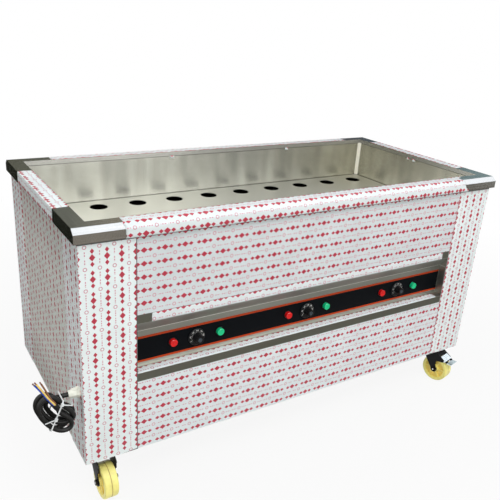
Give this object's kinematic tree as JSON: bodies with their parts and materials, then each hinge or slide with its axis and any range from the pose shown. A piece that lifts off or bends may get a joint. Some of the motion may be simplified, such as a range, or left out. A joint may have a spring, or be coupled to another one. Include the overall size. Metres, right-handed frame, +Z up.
{
  "type": "dim sum steamer cart",
  "caption": "Electric dim sum steamer cart: a folded stainless body on swivel casters, with an open steam well over a perforated plate and a recessed heater control strip.",
  "frame": {"origin": "on the floor under the middle of the cart", "axes": "+Z up, +X along the cart to the operator's right, the controls face -Y"},
  "size_m": [1.6149, 0.8074, 0.82],
  "materials": {
    "filmed_sheet": "stainless sheet under a white protective film with a red and pink print",
    "folded_steel": "brushed stainless, part of it under film",
    "well_steel": "brushed stainless",
    "sealant": "pale sealant",
    "element_sheath": "dull stainless tube",
    "zinc_steel": "bright zinc plate",
    "label": "black label with orange borders",
    "lamp_body": "black",
    "red_lens": "clear red",
    "green_lens": "clear green",
    "black_plastic": "black moulding",
    "black_paint": "black enamel",
    "cream_plastic": "pale yellow moulding",
    "brass": "brass",
    "lever_paint": "red dipped lever",
    "ivory_plastic": "ivory moulding",
    "cable_rubber": "matt black sheath",
    "tie_plastic": "natural nylon",
    "core_plastic": "coloured insulation"
  },
  "bodies": {
    "cart": {"corner_post_front_left": "filmed_sheet", "corner_post_front_right": "filmed_sheet", "corner_post_back_left": "filmed_sheet", "corner_post_back_right": "filmed_sheet", "front_upper_panel": "filmed_sheet", "front_lower_panel": "filmed_sheet", "back_panel": "filmed_sheet", "side_panel_left": "filmed_sheet", "side_panel_right": "filmed_sheet", "control_recess": "folded_steel", "rim_front": "folded_steel", "rim_back": "folded_steel", "rim_left": "folded_steel", "rim_right": "folded_steel", "base_panel": "folded_steel", "base_rails": "folded_steel", "tank": "well_steel", "plate_supports": "well_steel", "corner_seals": "sealant", "heating_elements": "element_sheath", "element_nuts": "zinc_steel", "caster_bolts": "zinc_steel", "control_label": "label", "lamp_bodies": "lamp_body", "red_lenses": "red_lens", "green_lenses": "green_lens", "thermostats": "black_plastic", "caster_plates": "black_paint", "drain_valve": "brass", "gland_body": "ivory_plastic", "gland_dome_nut": "ivory_plastic", "gland_locknut": "ivory_plastic", "terminal_block": "ivory_plastic", "power_cable": "cable_rubber", "cable_hank": "cable_rubber", "cable_ties": "tie_plastic", "cable_cores": "core_plastic"},
    "swivel_front_left": {"fork_front_left": "black_paint", "axle_front_left": "zinc_steel"},
    "wheel_front_left": {"wheel_front_left": "cream_plastic"},
    "swivel_front_right": {"fork_front_right": "black_paint", "axle_front_right": "zinc_steel"},
    "wheel_front_right": {"wheel_front_right": "cream_plastic"},
    "pedal_front_right": {"brake_pedal_front_right": "zinc_steel"},
    "swivel_back_left": {"fork_back_left": "black_paint", "axle_back_left": "zinc_steel"},
    "wheel_back_left": {"wheel_back_left": "cream_plastic"},
    "swivel_back_right": {"fork_back_right": "black_paint", "axle_back_right": "zinc_steel"},
    "wheel_back_right": {"wheel_back_right": "cream_plastic"},
    "pedal_back_right": {"brake_pedal_back_right": "zinc_steel"},
    "knob_left": {"knob_left": "black_plastic", "thermostat_shaft_left": "zinc_steel"},
    "knob_middle": {"knob_middle": "black_plastic", "thermostat_shaft_middle": "zinc_steel"},
    "knob_right": {"knob_right": "black_plastic", "thermostat_shaft_right": "zinc_steel"},
    "steam_plate": {"steam_plate": "well_steel"},
    "drain_lever": {"drain_lever": "lever_paint"}
  },
  "joints": [
    {"name": "swivel_front_left", "type": "hinge", "parent": "cart", "child": "swivel_front_left", "pos_m": [-0.679, -0.298, 0.1262], "axis": [0, 0, 1], "continuous": true},
    {"name": "wheel_front_left", "type": "hinge", "parent": "swivel_front_left", "child": "wheel_front_left", "pos_m": [-0.67834, -0.33599, 0.051], "axis": [-0.9998, -0.0175, 0], "continuous": true},
    {"name": "swivel_front_right", "type": "hinge", "parent": "cart", "child": "swivel_front_right", "pos_m": [0.6616, -0.298, 0.1262], "axis": [0, 0, 1], "continuous": true},
    {"name": "wheel_front_right", "type": "hinge", "parent": "swivel_front_right", "child": "wheel_front_right", "pos_m": [0.67034, -0.33498, 0.051], "axis": [-0.9732, -0.23, 0], "continuous": true},
    {"name": "pedal_front_right", "type": "hinge", "parent": "swivel_front_right", "child": "pedal_front_right", "pos_m": [0.67586, -0.35834, 0.1022], "axis": [0.9732, 0.23, 0], "range_deg": [0, 12]},
    {"name": "swivel_back_left", "type": "hinge", "parent": "cart", "child": "swivel_back_left", "pos_m": [-0.679, 0.298, 0.1262], "axis": [0, 0, 1], "continuous": true},
    {"name": "wheel_back_left", "type": "hinge", "parent": "swivel_back_left", "child": "wheel_back_left", "pos_m": [-0.64229, 0.30784, 0.051], "axis": [0.2588, -0.9659, 0], "continuous": true},
    {"name": "swivel_back_right", "type": "hinge", "parent": "cart", "child": "swivel_back_right", "pos_m": [0.6616, 0.298, 0.1262], "axis": [0, 0, 1], "continuous": true},
    {"name": "wheel_back_right", "type": "hinge", "parent": "swivel_back_right", "child": "wheel_back_right", "pos_m": [0.67034, 0.33498, 0.051], "axis": [0.9732, -0.23, 0], "continuous": true},
    {"name": "pedal_back_right", "type": "hinge", "parent": "swivel_back_right", "child": "pedal_back_right", "pos_m": [0.67586, 0.35834, 0.1022], "axis": [-0.9732, 0.23, 0], "range_deg": [0, 12]},
    {"name": "thermostat_left", "type": "hinge", "parent": "cart", "child": "knob_left", "pos_m": [-0.394, -0.314, 0.432], "axis": [0, 1, 0], "range_deg": [0, 270]},
    {"name": "thermostat_middle", "type": "hinge", "parent": "cart", "child": "knob_middle", "pos_m": [0, -0.314, 0.432], "axis": [0, 1, 0], "range_deg": [0, 270]},
    {"name": "thermostat_right", "type": "hinge", "parent": "cart", "child": "knob_right", "pos_m": [0.394, -0.314, 0.432], "axis": [0, 1, 0], "range_deg": [0, 270]},
    {"name": "steam_plate_lift", "type": "slide", "parent": "cart", "child": "steam_plate", "axis": [0, 0, 1], "range_m": [0, 0.25]},
    {"name": "drain_turn", "type": "hinge", "parent": "cart", "child": "drain_lever", "pos_m": [0.47, 0.1999, 0.096], "axis": [0, 1, 0], "range_deg": [0, 90]}
  ]
}
